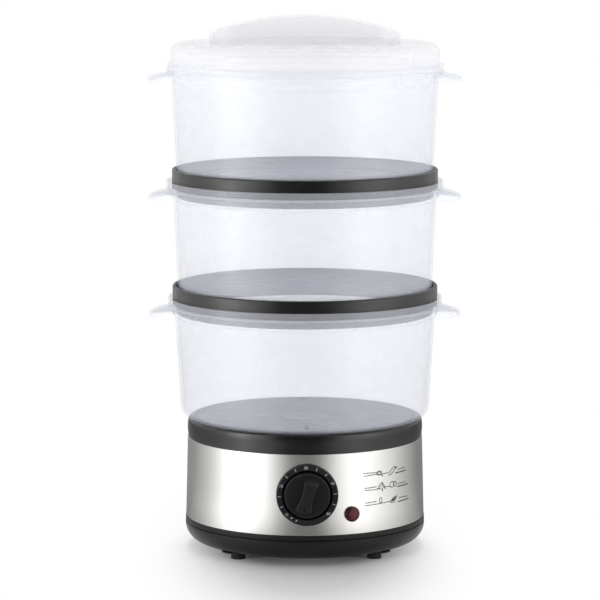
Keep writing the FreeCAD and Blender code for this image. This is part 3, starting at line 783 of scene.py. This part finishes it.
def makeHousing():
    h = housing
    bottom, wallTop = heights("lower_housing")
    bandLow = heights("steel_band")[0]
    outerTop = bandRadius(wallTop) - h["gap"]
    outerLow = bandRadius(bandLow) - h["gap"]
    roundZ = bottom + h["round"] * sin(radians(h["roundTurn"]))
    turns = [radians(-h["roundTurn"] * k / h["roundSteps"]) for k in range(h["roundSteps"] + 1)]
    piece = lathe("footHousing", [
        (outerTop, wallTop), (outerLow, bandLow), (h["radius"] - 0.2, bandLow, 0.3),
        (h["radius"] - 0.1, h["grooveHeight"] + 0.7, 0.2),
        (h["radius"] - h["grooveDepth"], h["grooveHeight"], 0.2),
        (h["radius"], h["grooveHeight"] - 0.7, 0.3),
        *(polar(h["round"], turn, h["radius"] - h["round"], roundZ) for turn in turns),
        (h["coverRadius"], bottom, 0.3), (h["coverRadius"], h["ledge"]),
        (h["ledgeRadius"], h["ledge"]), (outerLow - h["wall"] - 0.4, h["flareHeight"], 3.0),
        (outerTop - h["wall"], wallTop),
    ], band["segments"])
    timerHeight, lampHeight = band["timerHeight"], band["lampHeight"]
    boss = box("boss", (-h["bossHalf"], -h["bossFront"], timerHeight - h["bossHigh"]),
               (h["bossHalf"], -h["bossBack"], timerHeight + h["bossHigh"]))
    combine(piece, boss, "UNION")
    near, far = band["cutFrom"], band["cutTo"]
    drill(piece, band["timerHole"], h["bossFront"], far, timerHeight)
    drill(piece, h["shaftHole"], near, far, timerHeight)
    drill(piece, band["lampHole"], near, far, lampHeight, band["lampTurn"])
    drill(piece, h["glandRadius"], h["glandFrom"], h["glandTo"], h["glandHeight"], 180)
    return dress(piece, housingPlastic, "base", "black_gloss_abs", "lower_housing")


makeHousing()
print("foot housing made")


# timer: bezel with its printed scale, and the knob in its recess

dial = {
    "bore": 18.8, "radius": 23.2, "face": 94.2, "back": 86.0, "spigot": 19.8, "floor": 1.6, "shaftHole": 3.8,
    "firstAngle": -136.5, "stepAngle": 22.3, "tickRadius": 21.0, "tickLength": 2.4, "tickWidth": 0.5,
    "ink": 0.08, "numberRadius": 20.9, "numberSize": 3.0, "offSize": 2.6, "bolder": 0.05,
    "numbers": (("15", 3), ("30", 6), ("45", 9), ("60", 12)),
    "offLetters": (("O", -133.0), ("F", -145.5), ("F", -157.0)), "segments": 128,
}
knob = {
    "turn": 15.5, "radius": 17.2, "back": 90.4, "face": 95.4, "gripFace": 104.6, "edge": 1.3,
    "footRadius": 14.9, "faceRadius": 11.4, "waist": 3.3, "waistHeight": 1.5, "flankRadius": 32.0,
    "flankSlope": 1.0, "hubRadius": 5.4, "hubBack": 88.4, "dimpleRadius": 1.1, "dimpleHeight": -9.0,
    "levels": ((-0.04, 0.0), (0.0, 0.0), (0.3, 0.0), (0.6, 0.0), (0.88, 0.0), (0.95, 0.12), (0.985, 0.4),
               (1.0, 0.9)),  # share of the grip's height and inset of its outline
}


def makeBezel():
    d = dial
    ring = lathe("timerBezel", [
        (d["bore"], d["back"] + 0.2), (d["radius"], d["back"] + 0.2), (d["radius"], d["face"], 0.9),
        (d["bore"], d["face"], 0.4),
    ], d["segments"])
    cup = lathe("bezelCup", [
        (d["shaftHole"], d["back"]), (d["spigot"], d["back"]), (d["spigot"], d["face"] - 1.0),
        (d["bore"] + 0.05, d["face"] - 1.0), (d["bore"] + 0.05, d["back"] + d["floor"], 0.8),
        (d["shaftHole"], d["back"] + d["floor"]),
    ], d["segments"])
    toFront(ring, band["timerHeight"])
    low, high = 20, 90  # the ring is cut to the band's curve between these heights
    inside = lathe("inside", [(0, low), (bandRadius(low) + 0.05, low), (bandRadius(high) + 0.05, high),
                              (0, high)], band["segments"])
    combine(ring, inside, "DIFFERENCE")
    combine(ring, toFront(cup, band["timerHeight"]), "UNION")
    return dress(ring, bezelPlastic, "base", "black_dial_abs", "timer_bezel")


def makeNumber(text, turn, size, tilt=0.0):  # flat text on the dial's circle, tilted about its own middle
    curve = bpy.data.curves.new("number", "FONT")
    curve.body = text
    curve.size = size * mm
    curve.extrude = dial["ink"] / 2 * mm
    curve.align_x = "CENTER"
    curve.align_y = "CENTER"
    curve.offset = dial["bolder"] * mm
    holder = addObject("number", curve)
    mesh = bpy.data.meshes.new_from_object(holder.evaluated_get(bpy.context.evaluated_depsgraph_get()))
    bpy.data.objects.remove(holder)
    piece = turnAbout(addObject("number", mesh), tilt)
    a = radians(turn)
    for vert in mesh.vertices:
        vert.co.x += dial["numberRadius"] * mm * sin(a)
        vert.co.y += dial["numberRadius"] * mm * cos(a)
    return piece


def makeScale():
    d = dial
    marks = [growPiece("ticks", ticks, {
        "Radius": d["tickRadius"] * mm,
        "First Angle": radians(d["firstAngle"]),
        "Step Angle": radians(d["stepAngle"]),
        "Length": d["tickLength"] * mm,
        "Width": d["tickWidth"] * mm,
        "Thickness": d["ink"] * mm,
    })]
    for text, place in d["numbers"]:
        marks.append(makeNumber(text, d["firstAngle"] + place * d["stepAngle"], d["numberSize"]))
    for letter, turn in d["offLetters"]:
        marks.append(makeNumber(letter, turn, d["offSize"], -180 - turn))
    piece = joinPieces("timerScale", marks)
    for vert in piece.data.vertices:
        vert.co.z += (d["face"] + d["ink"] / 2) * mm
    toFront(piece, band["timerHeight"])
    return dress(piece, whiteInk, "base", "black_dial_abs")


def gripOutline(endR, flankR):  # round ends joined by two hollow flanks, counterclockwise from the tail
    flankSteps, endSteps = 16, 6
    centre = Vector((knob["flankRadius"] + knob["waist"], knob["waistHeight"]))
    along = (endR ** 2 - flankR ** 2 + centre.length_squared) / (2 * centre.length)
    off = sqrt(endR ** 2 - along ** 2)
    axis = centre.normalized()
    across = Vector((-axis.y, axis.x))
    tail, tip = axis * along - across * off, axis * along + across * off
    first, last = (atan2((p - centre).y, (centre - p).x) for p in (tail, tip))
    turns = (first + (last - first) * k / flankSteps for k in range(flankSteps + 1))
    right = [centre + Vector((-cos(a), sin(a))) * flankR for a in turns]
    left = [Vector((-p.x, p.y)) for p in reversed(right)]
    ends = []
    for side, corner in ((1, tip), (-1, tail)):
        reach = atan2(corner.x, side * corner.y)
        turns = (reach * (1 - k / endSteps) for k in range(1, 2 * endSteps))
        ends.append([Vector((side * sin(a), side * cos(a))) * endR for a in turns])
    return right + ends[0] + left + ends[1]


def makeKnob():
    k = knob
    disc = lathe("timerKnob", [
        (0, k["back"]), (k["radius"], k["back"], 0.4), (k["radius"], k["face"], k["edge"]),
        (0, k["face"]),
    ], dial["segments"])
    hub = stack("hub", circle(k["hubRadius"], 48), [(k["hubBack"], 0), (k["back"] + 0.5, 0)])
    combine(disc, hub, "UNION")
    sections = []
    for share, inset in k["levels"]:
        endR = k["footRadius"] + (k["faceRadius"] - k["footRadius"]) * max(share, 0)
        outline = inward(gripOutline(endR, k["flankRadius"] - k["flankSlope"] * max(share, 0)), inset)
        height = k["face"] + (k["gripFace"] - k["face"]) * share
        sections.append([(p.x, p.y, height) for p in outline])
    combine(disc, loft("grip", sections), "UNION")
    dimple = stack("dimple", circle(k["dimpleRadius"], 24, 0, k["dimpleHeight"]),
                   [(k["gripFace"] - 0.6, 0.3), (k["gripFace"] + 1, 0)])
    combine(disc, dimple, "DIFFERENCE")
    turnAbout(disc, -k["turn"])
    toFront(disc, band["timerHeight"])
    return dress(disc, dialPlastic, "dial", "black_dial_abs", "timer_knob", sharp=40)


makeBezel()
makeScale()
makeKnob()
print("timer made")


# lamp lens

lamp = {"radius": 5.8, "seat": 91.4, "rise": 3.7, "stem": 4.4, "stemBack": 84.0}


def makeLens():
    s = lamp
    piece = lathe("lampLens", [
        (0, s["stemBack"]), (s["stem"], s["stemBack"], 0.3), (s["stem"], s["seat"]),
        (s["radius"], s["seat"], 0.2), (s["radius"], s["seat"] + 1.6, 1.0),
        (s["radius"] - 1.5, s["seat"] + 3.1, 2.2), (0, s["seat"] + s["rise"]),
    ], 64)
    turnAbout(toFront(piece, band["lampHeight"]), band["lampTurn"])
    return dress(piece, lensPlastic, "base", "red_lens", "lamp_lens")


makeLens()
print("lens made")


# printed guide: three rows of plain pictograms and rules

guide = {
    "proud": 0.06, "rule": 0.55, "bold": 0.8, "step": 1.5,
    "words": ((44.4, 69.6, 55.9, 69.2), (45.4, 58.2, 56.3, 58.4), (45.9, 47.0, 55.8, 47.3)),
    "rules": (
        ((44.9, 67.4), (55.9, 67.9)), ((61.8, 67.4), (68.1, 67.9)), ((79.4, 68.6), (88.9, 69.0)),
        ((45.3, 56.7), (57.4, 56.2)), ((64.5, 57.5), (70.3, 56.9)), ((79.0, 57.8), (89.0, 57.9)),
        ((45.4, 45.0), (58.3, 45.3), (70.8, 45.7)), ((80.2, 47.0), (92.6, 46.5)),
        ((76.7, 48.4), (78.1, 49.5)),
    ),
    "boldLines": (
        ((76.4, 66.4), (90.2, 66.6)), ((61.2, 67.6), (62.4, 65.6)), ((77.9, 55.7), (92.5, 55.8)),
        ((56.9, 57.1), (60.4, 56.2)), ((61.6, 57.2), (62.4, 54.2)), ((63.2, 58.0), (65.2, 55.8)),
        ((78.7, 44.1), (93.3, 44.4)),
        ((72.0, 46.2), (76.4, 48.0), (76.6, 47.0), (72.4, 45.8), (76.0, 47.5)),
    ),
    "loops": (
        (59.0, 68.5, 2.6, 1.5, 0.1), (58.7, 68.5, 1.6, 0.9, 0.1), (72.6, 68.6, 4.6, 1.3, 0.62),
        (77.0, 70.4, 1.2, 0.5, 0.3), (60.3, 59.4, 2.5, 0.8, 0.72), (63.0, 58.7, 1.8, 0.6, -1.1),
        (72.3, 58.3, 2.3, 2.2, 0.0), (75.5, 58.3, 1.8, 1.8, 0.3), (60.2, 47.8, 1.3, 1.9, 0.0),
        (74.2, 47.1, 3.0, 1.1, 0.4), (72.9, 45.2, 2.5, 0.8, 0.1),
    ),
    "dashes": ((0.0, 0.1), (0.14, 0.2), (0.25, 0.4), (0.45, 0.52), (0.57, 0.72), (0.77, 0.84), (0.88, 1.0)),
}


def ellipse(x, z, wide, high, tilt, count=24):
    points = []
    for k in range(count + 1):
        a = 2 * pi * k / count
        u, v = wide * cos(a), high * sin(a)
        points.append((x + u * cos(tilt) - v * sin(tilt),
                       z + u * sin(tilt) + v * cos(tilt)))
    return points


def guideStrokes():  # (width, points), each point a length round the band from the front and a height
    strokes = [(guide["rule"], line) for line in guide["rules"]]
    strokes += [(guide["bold"], line) for line in guide["boldLines"]]
    strokes += [(guide["rule"], ellipse(*loop)) for loop in guide["loops"]]
    for x0, z0, x1, z1 in guide["words"]:  # short dashes of uneven length stand for the words
        for dash in guide["dashes"]:
            strokes.append((guide["bold"], [(x0 + (x1 - x0) * t, z0 + (z1 - z0) * t) for t in dash]))
    return strokes


def makeGuide():
    shape = bmesh.new()
    for width, line in guideStrokes():
        points = []
        for (x0, z0), (x1, z1) in zip(line, line[1:]):
            count = max(1, ceil(hypot(x1 - x0, z1 - z0) / guide["step"]))
            steps = (k / count for k in range(count))
            points += [Vector((x0 + (x1 - x0) * t, z0 + (z1 - z0) * t)) for t in steps]
        points.append(Vector(line[-1]))
        rows = []
        for i, point in enumerate(points):
            along = (points[min(i + 1, len(points) - 1)] - points[max(i - 1, 0)]).normalized()
            across = Vector((-along.y, along.x)) * width / 2
            row = []
            for spot, proud in ((point + across, 0.0), (point + across, guide["proud"]),
                                (point - across, guide["proud"]), (point - across, 0.0)):
                r = (bandRadius(spot.y) + proud) * mm
                a = spot.x / band["lowRadius"]
                row.append(shape.verts.new((r * sin(a), -r * cos(a), spot.y * mm)))
            rows.append(row)
        bridge(shape, rows)
        shape.faces.new(rows[0])
        shape.faces.new(rows[-1])
    return dress(newPiece("printedGuide", shape), darkInk, "base", "black_dial_abs")


makeGuide()
print("guide made")


# nodes whose own shape is right get a finished material

finishes = (
    (ringPlastic, ("drip_tray", "steam_ring", "bottom_cover")),
    (footRubber, ("feet", "cord_gland")),
    (sealSilicone, ("heater_seal",)),
    (pressedSteel, ("heater_plate",)),
    (castAluminium, ("heating_element",)),
    (zincSteel, ("cover_screws", "element_clamp", "clamp_nuts", "timer_screws", "timer_front_plate",
                 "timer_case", "timer_bell", "timer_shaft")),
    (sheetBrass, ("earth_tag", "thermal_fuse")),
    (phenolicResin, ("thermostat", "timer_contacts")),
    (creamAcetal, ("timer_cam", "terminal_block")),
    (neonGlass, ("lamp_body",)),
    (wireSleeve, ("wiring",)),
)
for material, nodes in finishes:
    for node in nodes:
        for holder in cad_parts[node].material_slots:
            holder.material = material
print("CAD nodes finished:", sum(len(nodes) for _, nodes in finishes))


# studio: a soft key from above and behind, two low fills, a white floor, and a tent of cards for reflections

studio = {
    "ambient": 0.5, "floorSize": 5.0, "fadeShape": (2.2, 0.7, 0.0), "fadeFrom": 0.08, "fadeTo": 0.3,
    "keySpot": (0.0, 1.3, 3.0), "keyAim": (0, 0, 0.1), "keyAngle": 28.0, "keyStrength": 1.65,
    "fillSpots": ((-1.39, -0.8, 0.14), (1.39, -0.8, 0.14)), "fillAim": (0, 0, 0.18), "fillWide": 0.6,
    "fillHigh": 0.24, "fillPower": 11.4,
}
tent = {  # cards: brightness by azimuth in degrees from the front, rightwards positive
    "near": 0.15, "far": 0.42, "low": 0.001, "high": 0.43, "frontHigh": 0.95, "frontHalf": 35.0, "peak": 5.0,
    # painted shadow: shade is the sheet's brightness share nearest the object, rising to full between
    # shadeFrom and shadeTo metres out
    "lowGlow": 0.15, "splitFrom": 0.08, "splitTo": 0.13, "shade": 0.4, "shadeFrom": 0.15, "shadeTo": 0.26,
    "columns": 144,
    "lowCards": (
        (-180, 0.25), (-150, 0.12), (-125, 0.14), (-97, 0.48), (-85, 0.8), (-66, 1.6), (-56, 2.3),
        (-47, 1.7), (-38, 1.25), (-30, 0.9), (-23, 0.48), (-16, 0.15), (-8, 0.02), (8, 0.02), (15, 0.18),
        (22, 0.6), (30, 0.95), (38, 1.2), (46, 1.4), (56, 1.15), (78, 0.75), (97, 0.4), (125, 0.08),
        (150, 0.08), (180, 0.25),
    ),
    "highCards": (
        (-180, 0.4), (-140, 0.8), (-112, 0.9), (-90, 1.2), (-78, 1.6), (-68, 3.6), (-60, 4.8), (-54, 3.4),
        (-46, 2.4), (-36, 1.5), (-28, 0.5), (-20, 0.05), (12, 0.0), (20, 0.3), (29, 0.9), (40, 1.9),
        (52, 2.3), (62, 2.4), (72, 1.6), (82, 1.2), (112, 0.8), (140, 0.7), (180, 0.4),
    ),
}


def stageMaterial(name):
    material = bpy.data.materials.new(name)
    material.use_nodes = True
    material.node_tree.nodes.clear()
    return material, material.node_tree


def seenRays(tree):  # 1 for the camera and for what metal and glass show, 0 for the light on the object
    paths = addNode(tree, "LightPath").outputs
    shine = addNode(tree, "Math", {0: paths["Is Glossy Ray"], 1: paths["Is Transmission Ray"]},
                    operation="MAXIMUM")
    return addNode(tree, "Math", {0: paths["Is Camera Ray"], 1: shine}, operation="MAXIMUM")


def makeWorld():
    world = bpy.data.worlds.new("whiteStudio")
    world.use_nodes = True
    tree = world.node_tree
    tree.nodes.clear()
    seen = seenRays(tree)
    fill = addNode(tree, "Background", {"Color": linear("#ffffff"), "Strength": studio["ambient"]})
    white = addNode(tree, "Background", {"Color": linear("#ffffff"), "Strength": 1.0})
    both = addNode(tree, "MixShader", {0: seen, 1: fill, 2: white})
    addNode(tree, "OutputWorld", {"Surface": both})
    scene.world = world


def makeFloor():  # paper with the object's shadow near it, pure white farther away
    shape = bmesh.new()
    bmesh.ops.create_grid(shape, x_segments=1, y_segments=1, size=studio["floorSize"] / 2)
    floor = newPiece("floor", shape)
    material, tree = stageMaterial("whitePaperSweep")
    seen = seenRays(tree)
    paper = addNode(tree, "BsdfDiffuse", {"Color": linear("#f6f6f6")})
    white = addNode(tree, "Emission", {"Strength": 1.0})
    place = addNode(tree, "TexCoord")
    stretched = addNode(tree, "VectorMath", {0: place.outputs["Object"], 1: studio["fadeShape"]},
                        operation="MULTIPLY")
    distance = addNode(tree, "VectorMath", {0: stretched}, operation="LENGTH")
    fade = addNode(tree, "MapRange", {
        "Value": distance.outputs["Value"], "From Min": studio["fadeFrom"], "From Max": studio["fadeTo"],
    }, interpolation_type="SMOOTHSTEP")
    share = addNode(tree, "Math", {0: fade, 1: seen}, operation="MULTIPLY")
    faded = addNode(tree, "MixShader", {0: share, 1: paper, 2: white})
    addNode(tree, "OutputMaterial", {"Surface": faded})
    floor.data.materials.append(material)


def placeLight(name, kind, spot, aim, energy):
    light = bpy.data.lights.new(name, kind)
    light.energy = energy
    holder = addObject(name, light)
    holder.location = spot
    holder.rotation_euler = (Vector(aim) - Vector(spot)).to_track_quat("-Z", "Y").to_euler()
    holder.visible_glossy = False
    return light


def makeLamps():
    key = placeLight("softKey", "SUN", studio["keySpot"], studio["keyAim"], studio["keyStrength"])
    key.angle = radians(studio["keyAngle"])
    for spot in studio["fillSpots"]:
        fill = placeLight("lowFill", "AREA", spot, studio["fillAim"], studio["fillPower"])
        fill.shape = "RECTANGLE"
        fill.size = studio["fillWide"]
        fill.size_y = studio["fillHigh"]


def makeTent():  # a sheet over the floor and a wall round the object, taller in front
    t = tent
    shape = bmesh.new()
    rings = [[], [], []]
    for k in range(t["columns"]):
        a = 2 * pi * k / t["columns"]
        front = abs(degrees(atan2(cos(a), -sin(a)))) < t["frontHalf"]
        top = t["frontHigh"] if front else t["high"]
        for ring, r, z in zip(rings, (t["near"], t["far"], t["far"]), (t["low"], t["low"], top)):
            ring.append(shape.verts.new((r * cos(a), r * sin(a), z)))
    bridge(shape, rings)
    sheet = newPiece("cardTent", shape)
    material, tree = stageMaterial("studioCards")
    place = addNode(tree, "TexCoord").outputs["Object"]
    turned = addNode(tree, "Mapping", {"Vector": place, "Rotation": (0, 0, pi / 2)})
    azimuth = addNode(tree, "TexGradient", {"Vector": turned}, gradient_type="RADIAL")
    low, high = (greyRamp(tree, azimuth.outputs["Fac"], [(0.5 + turn / 360, level / t["peak"])
                                                         for turn, level in t[cards]])
                 for cards in ("lowCards", "highCards"))
    parts = addNode(tree, "SeparateXYZ", {0: place})
    split = addNode(tree, "MapRange", {"Value": parts.outputs["Z"], "From Min": t["splitFrom"],
                                       "From Max": t["splitTo"]})
    color = addNode(tree, "Mix", {0: split, 6: low, 7: high}, data_type="RGBA")
    flat = addNode(tree, "VectorMath", {0: place, 1: (1, 1, 0)}, operation="MULTIPLY")
    away = addNode(tree, "VectorMath", {0: flat}, operation="LENGTH")
    shade = addNode(tree, "MapRange", {  # painted shadow: the sheet is darker near the object, standing in for the object's shadow on the floor it covers
        "Value": away.outputs["Value"], "From Min": t["shadeFrom"], "From Max": t["shadeTo"],
        "To Min": t["shade"] * t["peak"], "To Max": t["peak"],
    })
    cards = addNode(tree, "Emission", {"Color": color.outputs[2], "Strength": shade})
    below = addNode(tree, "Math", {0: 1.0, 1: split}, operation="SUBTRACT")
    faint = addNode(tree, "Math", {0: below, 1: t["lowGlow"]}, operation="MULTIPLY")
    glow = addNode(tree, "Emission", {"Strength": faint})
    both = addNode(tree, "AddShader", {0: cards, 1: glow})
    addNode(tree, "OutputMaterial", {"Surface": both})
    sheet.data.materials.append(material)
    for kind in ("camera", "diffuse", "shadow", "transmission", "volume_scatter"):
        setattr(sheet, "visible_" + kind, False)


view = {"lens": 198.0, "distance": 2.508, "height": 0.5272, "pitch": 7.66, "side": -0.0038, "azimuth": 1.0}


def makeCamera():
    camera = bpy.data.cameras.new("camera")
    camera.lens = view["lens"]
    camera.sensor_width = 36
    camera.clip_end = 20
    holder = addObject("camera", camera)
    a = radians(view["azimuth"])
    across, back = view["side"], view["distance"]
    holder.location = (across * cos(a) - back * sin(a), -back * cos(a) - across * sin(a),
                       view["height"])
    holder.rotation_euler = (radians(90 - view["pitch"]), 0, -a)
    scene.camera = holder


makeWorld()
makeFloor()
makeLamps()
makeTent()
makeCamera()
scene.view_settings.view_transform = "Standard"
scene.cycles.transparent_max_bounces = 32  # a line of sight can cross many clear walls
print("studio made")
